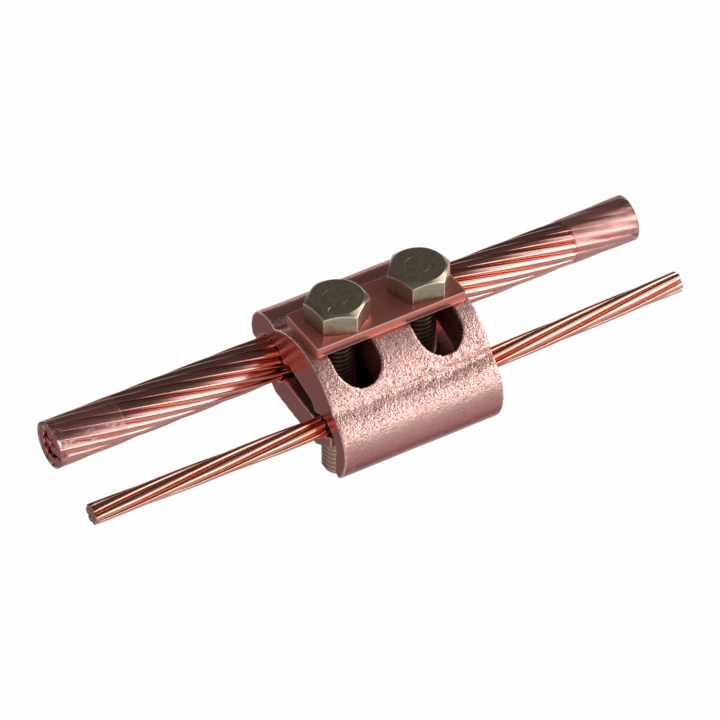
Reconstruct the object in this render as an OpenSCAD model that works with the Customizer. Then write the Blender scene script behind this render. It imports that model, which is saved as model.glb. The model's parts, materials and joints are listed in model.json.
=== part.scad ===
// Parallel-groove connector closed on two bare stranded copper conductors.
// X runs along the conductors, Y to the back and Z up along the bolts. The origin lies on the axis of the
// main conductor, in the middle of its left tape band.

/* [Conductors] */
// Outer diameter of the thick conductor in the back groove
main_d = 10.7; // [9:0.1:11]
// Outer diameter of the thin conductor in the front groove
tap_d = 4.9; // [4:0.1:7]
// Reach of the main conductor to the left of the shell's middle
main_left = 76.6; // [50:0.1:150]
// Reach of the main conductor to the right of the shell's middle
main_right = 73.2; // [50:0.1:150]
// Reach of the tap conductor to the left of the shell's middle
tap_left = 78.6; // [40:0.1:150]
// Reach of the tap conductor to the right of the shell's middle
tap_right = 72.8; // [40:0.1:150]
// Wires in the outer layer of the main conductor
main_wires = 12; // [9:1:18]
// Wires in the outer layer of the tap conductor
tap_wires = 6; // [6:1:9]
// Length of one turn of the main conductor's wires, right-hand lay
main_lay = 132; // [100:1:300]
// Length of one turn of the tap conductor's wires, left-hand lay
tap_lay = 128; // [60:1:200]
// Direction of a wire of the main conductor at the shell's middle, from the back towards the top
main_turn = 4.5; // [0:0.5:40]
// Direction of a wire of the tap conductor at the shell's middle, from the back towards the top
tap_turn = 10; // [0:0.5:60]
// Width of an outer wire round its layer, over its thickness: pressed wires have shallow grooves
wire_press = 1.06; // [1:0.01:1.4]
// Rise of the tap conductor from the shell to its left end
tap_rise_left = 1.25; // [0:0.05:3]
// Rise of the tap conductor from the shell to its right end
tap_rise_right = 0.75; // [0:0.05:3]

/* [Tape] */
// Width of the tape bands at both ends of the main conductor
tape_w = 16.6; // [8:0.1:25]
// Thickness of the wound tape
tape_t = 0.12; // [0.08:0.01:0.6]

/* [Shell] */
// Length of the shell along the conductors
shell_l = 41; // [38:0.5:60]
// Distance between the centres of the two grooves
groove_pitch = 23.2; // [21:0.1:28]
// Radius of each groove
groove_r = 5.6; // [5.6:0.1:6.4]
// Tilt of the shell about the conductors, front down, with the thinner conductor in its front groove
shell_tilt = 16; // [8:0.5:20]
// Radius of the round roof that the pressure plate rocks on
roof_r = 17.15; // [16:0.05:20]
// Drop of the roof's axis below the groove centres
roof_drop = 0.9; // [0:0.1:2]
// Offset of the roof's axis to the front of the shell's middle
roof_front = 0.8; // [0:0.1:1.5]
// Height of the shell's ceiling over the groove centres
ceiling_h = 5.4; // [4.5:0.1:7]
// Half width of the ceiling
ceiling_half = 5.2; // [3:0.1:5.5]
// Drop of the ribs beside the ceiling
rib_drop = 1.6; // [0.4:0.1:2.5]
// Width of the bolt slots, along the conductors
slot_w = 11; // [10:0.1:13]
// Reach of the bolt slots from the shell's middle to each side
slot_reach = 11; // [9.5:0.1:12]

/* [Wings] */
// Radius of the back wing
back_wing_r = 7.1; // [6.8:0.1:8]
// Distance of the back wing's axis outward from its groove's centre
back_wing_out = 2.6; // [2:0.1:3]
// Height of the back wing's axis over its groove's centre
back_wing_up = 3; // [2:0.1:3.5]
// Angle below level at which the back lip ends
back_lip_turn = 30; // [20:1:40]
// Radius of the back lip's tip
back_lip_r = 1.5; // [1:0.05:1.6]
// Radius of the front wing
front_wing_r = 11.3; // [10.5:0.1:12]
// Distance of the front wing's axis inward from its groove's centre
front_wing_in = 1.4; // [0.5:0.1:1.6]
// Drop of the front wing's axis below its groove's centre
front_wing_down = 0.15; // [0:0.05:0.5]
// Angle below level at which the front lip ends
front_lip_turn = 21; // [5:1:24]
// Radius of the front lip's tip
front_lip_r = 1.4; // [1:0.05:1.6]

/* [Bolts] */
// Thread diameter
thread_d = 8; // [6:1:8]
// Thread pitch
thread_pitch = 1.25; // [1:0.05:1.5]
// Head width across the flats
head_af = 13; // [10:1:13]
// Head height
head_h = 5.4; // [4:0.1:6.4]
// Depth of the chamfer at the head's corners
head_chamfer = 1.15; // [0.9:0.05:2]
// Slope of the chamfer
head_chamfer_angle = 38; // [25:1:46]
// Radius of the turned ring on the head
head_ring_r = 3.1; // [2.5:0.1:4.5]
// Length under the head
bolt_l = 44.2; // [40:0.1:60]
// Chamfer at the bolt's end
bolt_end_chamfer = 0.9; // [0.5:0.1:1.5]
// Distance between the two bolts
bolt_pitch = 21; // [20:0.1:26]
// Offset of the pair of bolts to the right of the shell's middle
bolt_shift = 0.9; // [-0.9:0.05:0.9]
// Distance of the bolts behind the roof's axis
bolt_back = 1; // [0:0.1:2]
// Direction of a corner of the left head
turn_left = 36.5; // [0:0.5:60]
// Direction of a corner of the right head
turn_right = 49.5; // [0:0.5:60]

/* [Pressure plate] */
// Length along the conductors
plate_l = 38.2; // [36:0.1:50]
// Width across the conductors
plate_w = 13.9; // [13.5:0.1:16]
// Thickness
plate_t = 2.5; // [1.5:0.1:4]
// Reach of the plate in front of the bolts
plate_front = 7.7; // [7:0.1:8]
// Offset of the plate to the right of the shell's middle
plate_shift = 0.05; // [-1:0.05:1]
// Rounding of the plate's corners
plate_round = 0.6; // [0.2:0.1:3]

/* [Lower jaw] */
// Length along the conductors
jaw_l = 40.5; // [36:0.5:60]
// Width across the conductors
jaw_w = 30; // [28:0.1:31]
// Thickness
jaw_t = 7.2; // [7:0.1:9]
// Width of the jaw's flat underside
jaw_floor_w = 18; // [14:0.1:22]
// Height of the jaw's end faces
jaw_end_h = 3; // [2:0.1:4]
// Slant of the jaw, with its front down
jaw_tilt = 6; // [0:0.5:8]
// Drop of the middle of the jaw's top face below the main conductor's axis
jaw_drop = 3.4; // [3:0.1:4]

/* [Fits] */
// Gap between a conductor and the crown of its groove
groove_gap = 0.1; // [0.05:0.05:0.3]
// Gap between a conductor and its seat in the jaw
jaw_gap = 0.3; // [0.1:0.05:0.5]
// Gap between the thread and the jaw's tapped holes, at the radius
thread_gap = 0.05; // [0.02:0.01:0.1]
// Gap between the shank and the plate's holes, at the radius
plate_hole_gap = 0.5; // [0.2:0.1:1]
// Gap under the bolt heads
head_gap = 0.05; // [0.02:0.01:0.2]
// Gap between the tape and the wires' crests
tape_gap = 0.03; // [0.02:0.01:0.1]

/* [Hidden] */
$fn = 64;

// Overlap of cutting tools past the faces that they cut
past = 1;
// Points along the outside of each wire, and rings along each conductor
main_wire_points = 6;
tap_wire_points = 7;
main_rings = 40;
tap_rings = 44;
// Direction of a head's corner in the bolt's own frame, clear of the seam of its turned faces
head_corner = 15;
// Width and depth of the turned ring on the bolt heads
head_ring_w = 0.5;
head_ring_depth = 0.15;
// Crest width, depth and run of a flank of the 60-degree thread
thread_crest = thread_pitch / 8;
thread_depth = thread_pitch * sqrt(3) * 5 / 16;
thread_flank = thread_depth * tan(30);
thread_turns = floor((bolt_l - bolt_end_chamfer - thread_crest) / thread_pitch);

// Middle of the shell along X, from the middle of the left tape band
shell_x = main_left - tape_w / 2;

// A point of the section, turned about the X axis by angle a
function turned(p, a) = [p[0] * cos(a) - p[1] * sin(a), p[0] * sin(a) + p[1] * cos(a)];

// Section points are [y, z]. The shell's own frame starts midway between its groove centres, and the main
// conductor is pressed straight up into its groove.
main_lift = groove_r - main_d / 2 - groove_gap;
tap_lift = groove_r - tap_d / 2 - groove_gap;
shell_mid = [0, -main_lift] - turned([groove_pitch / 2, 0], shell_tilt);
tap_axis = shell_mid - turned([groove_pitch / 2, 0], shell_tilt) + [0, tap_lift];
roof_mid = [-roof_front, -roof_drop];
roof_axis = shell_mid + turned(roof_mid, shell_tilt);
plate_bottom = roof_axis[1] + roof_r;
plate_top = plate_bottom + plate_t;
bolt_y = roof_axis[0] + bolt_back;
bolt_x = [shell_x + bolt_shift - bolt_pitch / 2, shell_x + bolt_shift + bolt_pitch / 2];

// Section of each side in the shell's own frame, as if it were the back: [wing's axis, its radius, axis of
// the lip's tip, its radius]. The tip touches the wing's outside from within.
groove_mid = [groove_pitch / 2, 0];
function side_of(mid, r, turn, tip_r) = [mid, r, mid + (r - tip_r) * [cos(turn), -sin(turn)], tip_r];
back = side_of(groove_mid + [back_wing_out, back_wing_up], back_wing_r, back_lip_turn, back_lip_r);
front = side_of(groove_mid - [front_wing_in, front_wing_down], front_wing_r, front_lip_turn, front_lip_r);

// A section in [y, z], drawn out along X by length l about the shell's middle
module along_x(l) {
  translate([shell_x - l / 2, 0, 0])
    rotate([90, 0, 90])
      linear_extrude(height = l)
        children();
}

// A round bar along X about the shell's middle, through the section point p
module bar_x(p, r, l) {
  translate([shell_x - l / 2, p[0], p[1]])
    rotate([0, 90, 0])
      cylinder(r = r, h = l);
}

// The shell's own frame
module in_shell() {
  translate([0, shell_mid[0], shell_mid[1]])
    rotate([shell_tilt, 0, 0])
      children();
}

// A section point carried to one side of the shell's middle: 1 at the back, -1 at the front
function on_side(p, side) = [side * p[0], p[1]];

// The round roof, down to the level of its axis
module roof() {
  difference() {
    bar_x(roof_mid, roof_r, shell_l);
    along_x(shell_l + 2 * past)
      polygon([for (p = [[1, 0], [1, -2], [-1, -2], [-1, 0]]) roof_mid + roof_r * p]);
  }
}

// One wing, round on the outside, cut off below the radius on which its lip's round tip lies
module wing(s, side) {
  reach = 2 * s[1];
  tip = (s[2] - s[0]) / norm(s[2] - s[0]);
  below = [tip[1], -tip[0]];
  difference() {
    bar_x(on_side(s[0], side), s[1], shell_l);
    along_x(shell_l + 2 * past)
      polygon([
        for (p = [-reach * tip, reach * tip, reach * (tip + below), reach * (below - tip)])
          on_side(s[0] + p, side)
      ]);
  }
  bar_x(on_side(s[2], side), s[3], shell_l);
}

// The space under the shell: ceiling, ribs, grooves and the mouth between the lips
function mouth_side(s) = [
  [ceiling_half, ceiling_h],
  [ceiling_half + rib_drop, ceiling_h - rib_drop],
  [groove_mid[0], ceiling_h - rib_drop],
  [groove_mid[0] + groove_r, 0],
  [s[2][0] - s[3], s[2][1]],
  [s[2][0] - s[3], -roof_r]
];

module mouth() {
  l = shell_l + 2 * past;
  back_points = mouth_side(back);
  front_points = mouth_side(front);
  along_x(l)
    polygon(concat(
      back_points,
      [for (i = [len(front_points) - 1 : -1 : 0]) on_side(front_points[i], -1)]
    ));
  for (side = [-1, 1])
    bar_x(on_side(groove_mid, side), groove_r, l);
}

// A bolt slot across the roof, round at both ends
module slot_tool(x) {
  run = slot_reach - slot_w / 2;
  for (side = [-1, 1])
    translate([x, side * run, 0])
      cylinder(d = slot_w, h = roof_r);
  translate([x - slot_w / 2, -run, 0])
    cube([slot_w, 2 * run, roof_r]);
}

module upper_shell() {
  color([0.74, 0.5, 0.47])
    in_shell()
      difference() {
        union() {
          roof();
          wing(back, 1);
          wing(front, -1);
        }
        mouth();
        for (side = [-1, 1])
          slot_tool(shell_x + side * bolt_pitch / 2);
      }
}

module jaw_section() {
  polygon([
    [-jaw_w / 2, 0],
    [-jaw_w / 2, -jaw_end_h],
    [-jaw_floor_w / 2, -jaw_t],
    [jaw_floor_w / 2, -jaw_t],
    [jaw_w / 2, -jaw_end_h],
    [jaw_w / 2, 0]
  ]);
}

// A conductor's seat: a round cut along X
module seat_tool(axis, d) {
  translate([shell_x - jaw_l / 2 - past, axis[0], axis[1]])
    rotate([0, 90, 0])
      cylinder(d = d + 2 * jaw_gap, h = jaw_l + 2 * past);
}

module lower_jaw() {
  color([0.66, 0.42, 0.39])
    difference() {
      translate([0, bolt_y, -jaw_drop])
        rotate([jaw_tilt, 0, 0])
          along_x(jaw_l) jaw_section();
      seat_tool([0, 0], main_d);
      seat_tool(tap_axis, tap_d);
      for (x = bolt_x)
        translate([x, bolt_y, -jaw_drop - 2 * jaw_t])
          cylinder(r = thread_d / 2 + thread_gap, h = 3 * jaw_t);
    }
}

module pressure_plate() {
  color([0.72, 0.38, 0.32])
    translate([0, 0, plate_bottom])
      difference() {
        linear_extrude(height = plate_t)
          plate_outline();
        for (x = bolt_x)
          translate([x, bolt_y, -past])
            cylinder(r = thread_d / 2 + plate_hole_gap, h = plate_t + 2 * past);
      }
}

// A rectangle with round corners
module plate_outline() {
  low = [shell_x + plate_shift - plate_l / 2, bolt_y - plate_front];
  size = [plate_l, plate_w];
  translate(low + [plate_round, 0]) square(size - [2 * plate_round, 0]);
  translate(low + [0, plate_round]) square(size - [0, 2 * plate_round]);
  for (x = [plate_round, plate_l - plate_round], y = [plate_round, plate_w - plate_round])
    translate(low + [x, y]) circle(r = plate_round);
}

// Profile of one thread groove below height z, as [radius, height]
function thread_groove(z) = [
  [thread_d / 2, z],
  [thread_d / 2 - thread_depth, z - thread_flank],
  [thread_d / 2 - thread_depth, z + thread_crest + thread_flank - thread_pitch],
  [thread_d / 2, z + thread_crest - thread_pitch]
];

// A hexagon-head bolt with its seat at z = 0 and a corner of its head in direction head_corner. The thread
// is drawn as rings of its true profile.
module bolt() {
  corner_r = head_af / sqrt(3);
  slope = tan(head_chamfer_angle);
  difference() {
    intersection() {
      rotate([0, 0, head_corner])
        cylinder(r = corner_r, h = head_h, $fn = 6);
      rotate_extrude()
        polygon([
          [0, -past],
          [corner_r + past, -past],
          [corner_r + past, head_h - head_chamfer - past * slope],
          [corner_r - (head_chamfer + past) / slope, head_h + past],
          [0, head_h + past]
        ]);
    }
    translate([0, 0, head_h - head_ring_depth])
      difference() {
        cylinder(r = head_ring_r, h = past);
        cylinder(r = head_ring_r - head_ring_w, h = past);
      }
  }
  rotate_extrude()
    polygon(concat(
      [[0, head_h / 2], [thread_d / 2, head_h / 2]],
      [for (i = [0 : thread_turns - 1]) each thread_groove(-thread_crest - i * thread_pitch)],
      [
        [thread_d / 2, bolt_end_chamfer - bolt_l],
        [thread_d / 2 - bolt_end_chamfer, -bolt_l],
        [0, -bolt_l]
      ]
    ));
}

module bolt_left() {
  color([0.44, 0.41, 0.33])
    translate([bolt_x[0], bolt_y, plate_top + head_gap])
      rotate([0, 0, turn_left - head_corner])
        bolt();
}

module bolt_right() {
  color([0.44, 0.41, 0.33])
    translate([bolt_x[1], bolt_y, plate_top + head_gap])
      rotate([0, 0, turn_right - head_corner])
        bolt();
}

// Outline of a layer of n wires with outer diameter d, turned by angle turn: m points on each wire. A wire is
// an ellipse, wider round the layer, up to the plane in which it meets its neighbour.
function wire_outline(n, d, m, turn) =
  let (
    wire_r = d / 2 / (1 + 1 / sin(180 / n)),
    layer_r = d / 2 - wire_r,
    side = tan(180 / n),
    meet = min(1, layer_r * side / (wire_r * norm([wire_press, side]))),
    sweep = 2 * (atan(side / wire_press) + asin(meet))
  )
  [
    for (k = [0 : n - 1], j = [0 : m - 1])
      let (
        at = turn + k * 360 / n,
        out = sweep * (j / m - 0.5)
      )
      (layer_r + wire_r * cos(out)) * [cos(at), sin(at)]
        + wire_press * wire_r * sin(out) * [-sin(at), cos(at)]
  ];

// A stranded conductor from x0 to x1 about an axis at [y, z] in axis. The wires make one turn in lay, with a
// wire in direction turn at the shell's middle, and rises lists the axis's extra height at each ring.
module stranded(n, d, m, lay, turn, axis, x0, x1, rises) {
  rings = len(rises) - 1;
  count = n * m;
  points = [
    for (i = [0 : rings])
      let (x = x0 + (x1 - x0) * i / rings)
      for (p = wire_outline(n, d, m, turn + 360 * (x - shell_x) / lay))
        [x, axis[0] + p[0], axis[1] + rises[i] + p[1]]
  ];
  walls = [
    for (i = [0 : rings - 1], j = [0 : count - 1])
      let (
        a = i * count + j,
        b = i * count + (j + 1) % count
      )
      each [[a, b, b + count], [a, b + count, a + count]]
  ];
  start_cap = [for (j = [count - 1 : -1 : 0]) j];
  end_cap = [for (j = [0 : count - 1]) rings * count + j];
  polyhedron(points = points, faces = concat(walls, [start_cap, end_cap]));
}

module main_conductor() {
  color([0.86, 0.5, 0.4])
    stranded(
      main_wires, main_d, main_wire_points, main_lay, main_turn, [0, 0],
      shell_x - main_left, shell_x + main_right,
      [for (i = [0 : main_rings]) 0]
    );
}

// Extra height of the tap conductor at distance s from the shell's middle: level inside the shell
function tap_rise(s) =
  s < -shell_l / 2 ? tap_rise_left * (-s - shell_l / 2) / (tap_left - shell_l / 2)
  : s > shell_l / 2 ? tap_rise_right * (s - shell_l / 2) / (tap_right - shell_l / 2)
  : 0;

module tap_conductor() {
  color([0.88, 0.52, 0.4])
    stranded(
      tap_wires, tap_d, tap_wire_points, -tap_lay, tap_turn, tap_axis,
      shell_x - tap_left, shell_x + tap_right,
      [for (i = [0 : tap_rings]) tap_rise(-tap_left + (tap_left + tap_right) * i / tap_rings)]
    );
}

// A band of tape on the main conductor, starting at x
module tape_band(x) {
  inner_r = main_d / 2 + tape_gap;
  translate([x, 0, 0])
    rotate([0, 90, 0])
      difference() {
        cylinder(r = inner_r + tape_t, h = tape_w);
        translate([0, 0, -past])
          cylinder(r = inner_r, h = tape_w + 2 * past);
      }
}

module tape_left() {
  color([0.93, 0.86, 0.83, 0.35])
    tape_band(shell_x - main_left);
}

module tape_right() {
  color([0.93, 0.86, 0.83, 0.35])
    tape_band(shell_x + main_right - tape_w);
}

upper_shell();
lower_jaw();
pressure_plate();
bolt_left();
bolt_right();
main_conductor();
tap_conductor();
tape_left();
tape_right();
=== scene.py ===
import json
import math

import bmesh
import bpy
import numpy as np
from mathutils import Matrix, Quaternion, Vector


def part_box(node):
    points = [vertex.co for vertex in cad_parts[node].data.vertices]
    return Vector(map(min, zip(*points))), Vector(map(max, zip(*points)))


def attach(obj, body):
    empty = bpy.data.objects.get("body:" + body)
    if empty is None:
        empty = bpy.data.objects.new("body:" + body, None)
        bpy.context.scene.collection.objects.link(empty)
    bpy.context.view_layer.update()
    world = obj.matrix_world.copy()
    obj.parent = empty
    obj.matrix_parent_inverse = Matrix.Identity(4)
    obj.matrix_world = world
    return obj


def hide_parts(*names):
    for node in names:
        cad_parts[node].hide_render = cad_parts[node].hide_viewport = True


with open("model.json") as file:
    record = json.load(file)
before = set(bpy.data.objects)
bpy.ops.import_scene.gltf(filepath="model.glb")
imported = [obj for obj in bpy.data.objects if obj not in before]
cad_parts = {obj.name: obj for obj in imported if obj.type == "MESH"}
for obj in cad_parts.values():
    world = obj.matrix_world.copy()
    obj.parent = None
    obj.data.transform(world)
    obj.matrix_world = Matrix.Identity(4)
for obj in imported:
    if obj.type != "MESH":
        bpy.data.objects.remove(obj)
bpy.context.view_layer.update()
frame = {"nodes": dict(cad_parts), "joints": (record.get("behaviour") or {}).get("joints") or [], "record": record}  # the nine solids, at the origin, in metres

mm = 0.001
scene = bpy.context.scene
scene.view_settings.view_transform = "Standard"
print("frame:", len(frame["nodes"]), "solids")


# A socket with operators: an expression on values adds its Math nodes
class Shade:
    def __init__(self, tree, socket=None):
        self.tree = tree
        self.socket = socket

    # Any node: its type, its settings, which are set first, and the values or links of its sockets
    def node(self, kind, settings, inputs, output=0):
        made = self.tree.nodes.new("ShaderNode" + kind)
        for name, value in settings.items():
            setattr(made, name, value)
        for name, value in inputs.items():
            if isinstance(value, Shade):
                self.tree.links.new(value.socket, made.inputs[name])
            else:
                made.inputs[name].default_value = value
        return Shade(self.tree, made.outputs[output])

    def math(self, operation, first, second=0):
        return self.node("Math", {"operation": operation}, {0: first, 1: second})

    def __add__(self, other):
        return self.math("ADD", self, other)

    def __radd__(self, other):
        return self.math("ADD", other, self)

    def __sub__(self, other):
        return self.math("SUBTRACT", self, other)

    def __rsub__(self, other):
        return self.math("SUBTRACT", other, self)

    def __mul__(self, other):
        return self.math("MULTIPLY", self, other)

    def __rmul__(self, other):
        return self.math("MULTIPLY", other, self)

    # 0 below low, 1 above high, smooth between
    def step(self, low, high):
        return self.node("MapRange", {"interpolation_type": "SMOOTHSTEP"},
                         {"Value": self, "From Min": low, "From Max": high})

    # noise about its middle, scaled
    def swing(self, scale):
        return (self - 0.5) * scale

    # first where this value is 0, second where it is 1: a Mix node's colours are inputs 6 and 7 and output 2
    def pick(self, first, second):
        return self.node("Mix", {"data_type": "RGBA"}, {0: self, 6: first, 7: second}, 2)


def attribute(shade, name, output="Fac"):
    return shade.node("Attribute", {"attribute_name": name}, {}, output)


def objectPlace(shade):
    return shade.node("TexCoord", {}, {}, "Object")


# A vector shortened along X, so that noise on it is drawn out that way
def drawnOut(shade, vector, share):
    return shade.node("VectorMath", {"operation": "MULTIPLY"}, {0: vector, 1: (share, 1, 1)})


# Distance along an axis from the middle between low and high
def fromMiddle(shade, place, axis, low, high):
    return shade.math("ABSOLUTE", shade.node("SeparateXYZ", {}, {0: place}, axis) - (low + high) / 2)


# Noise with features of about the given size, in metres, on a vector
def noise(shade, vector, size, detail=3, rough=0.55):
    return shade.node("TexNoise", {}, {"Vector": vector, "Scale": 1 / size, "Detail": detail,
                                       "Roughness": rough})


def bump(shade, height, distance):
    return shade.node("Bump", {}, {"Height": height, "Distance": distance})


# A material with one Principled shader: constants go on its sockets, and links into them
def newFinish(name, constants):
    finish = bpy.data.materials.new(name)
    finish.use_nodes = True
    shader = finish.node_tree.nodes["Principled BSDF"]
    for socket, value in constants.items():
        shader.inputs[socket].default_value = value
    return finish, Shade(finish.node_tree), shader


def joinSockets(shade, shader, links):
    for socket, value in links.items():
        shade.tree.links.new(value.socket, shader.inputs[socket])


# Cast copper: fine sand grain where the mould touched, smoother cut ends, worn edges painted bright as
# highlights, painted light and shade by facing, and painted shade in the slots
castLook = dict(
    # colour is painted lighter for faces turned to the front; smooth is the cut ends' colour and also painted
    # shade on faces turned away and down
    colour=(0.74, 0.46, 0.42, 1), smooth=(0.58, 0.18, 0.16, 1), deep=(0.30, 0.10, 0.09, 1),
    # the first colour below is for worn edges, painted brighter as a highlight; the inner colour is painted
    # shade, near black
    scuffedHighlight=(0.88, 0.55, 0.49, 1), inner=(0.03, 0.013, 0.012, 1),
    metal=0.88, rough=0.27, roughSwing=0.16, scuffedHighlightPolish=0.14,
    grainSize=0.5 * mm, grainDeep=0.18 * mm, coarseSize=1.3 * mm, coarseDeep=0.4, scuffedHighlightPatch=(0.28, 0.52),
    speckSize=0.34 * mm, speckDeep=0.5, speckGrain=(0.32, 0.66), speckEdge=(0.33, 0.42), speckShare=0.85,
    cloudSize=9 * mm, cloudEdge=(0.3, 0.75), cloudShare=0.15,
)


def castFinish():
    look = castLook
    finish, shade, shader = newFinish("castCopper", {"Metallic": look["metal"]})
    place = objectPlace(shade)
    grain = attribute(shade, "grain")
    fine = noise(shade, place, look["grainSize"], detail=2, rough=0.6)
    pepper = noise(shade, place, look["speckSize"], detail=1)
    coarse = noise(shade, place, look["coarseSize"])
    cloud = noise(shade, place, look["cloudSize"], detail=2)
    speck = grain.step(*look["speckGrain"]) * (1 - pepper.step(*look["speckEdge"]))
    # worn edges in patches, painted bright as highlights
    rubbedHighlight = attribute(shade, "wear") * coarse.step(*look["scuffedHighlightPatch"])
    # painted light and shade: lighter on faces turned to the front, the smooth colour on the cut ends and, as
    # painted shade, on faces turned away and down
    skin = attribute(shade, "skin").pick(look["smooth"], look["colour"])
    dark = cloud.step(*look["cloudEdge"]) * look["cloudShare"] + speck * look["speckShare"]
    copper = rubbedHighlight.pick(dark.pick(skin, look["deep"]), look["scuffedHighlight"])
    height = grain * (fine + coarse * look["coarseDeep"]) - speck * look["speckDeep"]
    joinSockets(shade, shader, {
        # painted shade: near black below the roof's skin (slots, grooves, ceiling) and on the jaw's upper
        # side
        "Base Color": attribute(shade, "inside").pick(copper, look["inner"]),
        "Roughness": look["rough"] + coarse.swing(look["roughSwing"]) - rubbedHighlight * look["scuffedHighlightPolish"],
        "Normal": bump(shade, height, look["grainDeep"]),
    })
    return finish


# Rolled copper: smooth, with faint rolling lines along the plate, slow stains and worn upper and lower edges
# painted bright as highlight lines
plateLook = dict(
    colour=(0.76, 0.25, 0.20, 1), stain=(0.62, 0.19, 0.16, 1), scuffedHighlight=(0.92, 0.58, 0.50, 1),
    metal=0.8, rough=0.22, cloudRough=0.14, lineRough=0.1, scuffedHighlightRough=0.3, edge=0.3 * mm, edgeFull=0.4,
    lineSize=0.22 * mm, lineStretch=0.03, lineDeep=0.006 * mm,
    cloudSize=6 * mm, cloudEdge=(0.35, 0.7), stainShare=0.6,
)


def plateFinish():
    look = plateLook
    finish, shade, shader = newFinish("rolledCopper", {"Metallic": look["metal"]})
    place = objectPlace(shade)
    line = noise(shade, drawnOut(shade, place, look["lineStretch"]), look["lineSize"], detail=2)
    cloud = noise(shade, place, look["cloudSize"], detail=4)
    # 1 close to the plate's faces along each axis: where two meet, the arris is worn and painted bright as a
    # highlight line
    near = []
    for axis, low, high in zip("XYZ", *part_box("pressure_plate")):
        half = (high - low) / 2
        off = fromMiddle(shade, place, axis, low, high)
        near.append(off.step(half - look["edge"], half - look["edgeFull"] * look["edge"]))
    arris = near[2] * shade.math("MAXIMUM", near[0], near[1])
    copper = (cloud.step(*look["cloudEdge"]) * look["stainShare"]).pick(look["colour"], look["stain"])
    rough = look["rough"] + cloud.swing(look["cloudRough"]) + line.swing(look["lineRough"])
    joinSockets(shade, shader, {
        # worn arrises painted bright as a highlight line
        "Base Color": arris.pick(copper, look["scuffedHighlight"]),
        "Roughness": rough + arris * look["scuffedHighlightRough"],
        "Normal": bump(shade, line, look["lineDeep"]),
    })
    return finish


# Stainless bolts: warm mottled grey with turned rings on the head, painted lighter below the jaw, painted
# shade inside the shell and in the thread roots, worn head edges painted as highlights
boltLook = dict(
    # besides stains: a lighter colour painted on the shank below the jaw, a dark root colour painted as
    # shade, and a bright colour for worn head edges painted as highlights
    colour=(0.44, 0.365, 0.27, 1), stain=(0.27, 0.22, 0.16, 1), bare=(0.70, 0.56, 0.45, 1),
    root=(0.05, 0.04, 0.03, 1), scuffedHighlight=(0.88, 0.76, 0.64, 1),
    metal=0.88, rough=0.30, mottleRough=0.12, ringRough=0.06, ringSize=0.16 * mm, ringDeep=0.003 * mm,
    mottleSize=1.1 * mm, mottleDeep=0.6, mottleEdge=(0.42, 0.68), stainShare=0.6, scuffedHighlightPatch=(0.25, 0.5),
)


def boltFinish():
    look = boltLook
    finish, shade, shader = newFinish("boltSteel", {"Metallic": look["metal"]})
    turned = shade.node("TexNoise", {"noise_dimensions": "1D"},
                        {"W": attribute(shade, "radial"), "Scale": 1 / look["ringSize"], "Detail": 2})
    mottle = noise(shade, objectPlace(shade), look["mottleSize"], detail=4)
    steel = (mottle.step(*look["mottleEdge"]) * look["stainShare"]).pick(look["colour"], look["stain"])
    # painted light: a lighter colour on the shank below the jaw
    steel = attribute(shade, "bare").pick(steel, look["bare"])
    # worn head edges in patches, painted bright as highlight lines
    rubbedHighlight = attribute(shade, "edge") * mottle.step(*look["scuffedHighlightPatch"])
    steel = rubbedHighlight.pick(steel, look["scuffedHighlight"])
    joinSockets(shade, shader, {
        # painted shade: dark in the thread roots and on the shank inside the shell
        "Base Color": attribute(shade, "depth").pick(steel, look["root"]),
        "Roughness": look["rough"] + mottle.swing(look["mottleRough"]) + turned.swing(look["ringRough"]),
        "Normal": bump(shade, turned + mottle * look["mottleDeep"], look["ringDeep"]),
    })
    return finish


# Drawn copper wire: each wire has its own tone, fine lines along it, and matt cut ends
wireLook = dict(
    colour=(0.86, 0.46, 0.34, 1), second=(0.78, 0.385, 0.355, 1), cut=(0.52, 0.24, 0.22, 1),
    warm=(0.84, 0.22, 0.11, 1), warmReach=13 * mm, warmShare=0.75, warmFlank=0.2,
    metal=1, rough=0.16, lineRough=0.12, cutRough=0.42,
    lineSize=0.2 * mm, lineStretch=0.02, lineDeep=0.002 * mm,
    cloudSize=5 * mm, cloudEdge=(0.35, 0.75), cloudShare=0.3, toneShare=0.7,
)


def wireFinish():
    look = wireLook
    finish, shade, shader = newFinish("copperWire", {"Metallic": look["metal"]})
    place = objectPlace(shade)
    drawn = drawnOut(shade, attribute(shade, "drawn", "Vector"), look["lineStretch"])
    line = noise(shade, drawn, look["lineSize"], detail=2)
    cloud = noise(shade, place, look["cloudSize"])
    cut = attribute(shade, "cut")
    tone = attribute(shade, "tone") * look["toneShare"] + cloud.step(*look["cloudEdge"]) * look["cloudShare"]
    # warmer close to the shell and on the wires' flanks, where copper mirrors copper
    low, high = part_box("upper_shell")
    half = (high.x - low.x) / 2
    off = fromMiddle(shade, place, "X", low.x, high.x)
    near = (1 - off.step(half, half + look["warmReach"])) * look["warmShare"]
    warm = shade.math("MAXIMUM", near, attribute(shade, "flank") * look["warmFlank"])
    copper = warm.pick(tone.pick(look["colour"], look["second"]), look["warm"])
    rough = look["rough"] + line.swing(look["lineRough"])
    joinSockets(shade, shader, {
        "Base Color": cut.pick(copper, look["cut"]),
        "Roughness": rough + cut * (look["cutRough"] - look["rough"]),
        "Normal": bump(shade, line, look["lineDeep"]),
    })
    return finish


# Clear tape: a thin film that takes the copper's tone, whiter where air is trapped between the wires
tapeLook = dict(
    colour=(0.80, 0.50, 0.47, 1), air=(0.86, 0.70, 0.72, 1), rim=(0.50, 0.21, 0.20, 1), rimFilm=(0.4, 0.7),
    metal=0.9, rough=0.30, smearRough=0.2, smearSize=8 * mm, smearLeast=0.7, smearMore=0.6,
    dashSize=2.0 * mm, dashEdge=(0.46, 0.62), airFilm=0.3,
)


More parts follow.
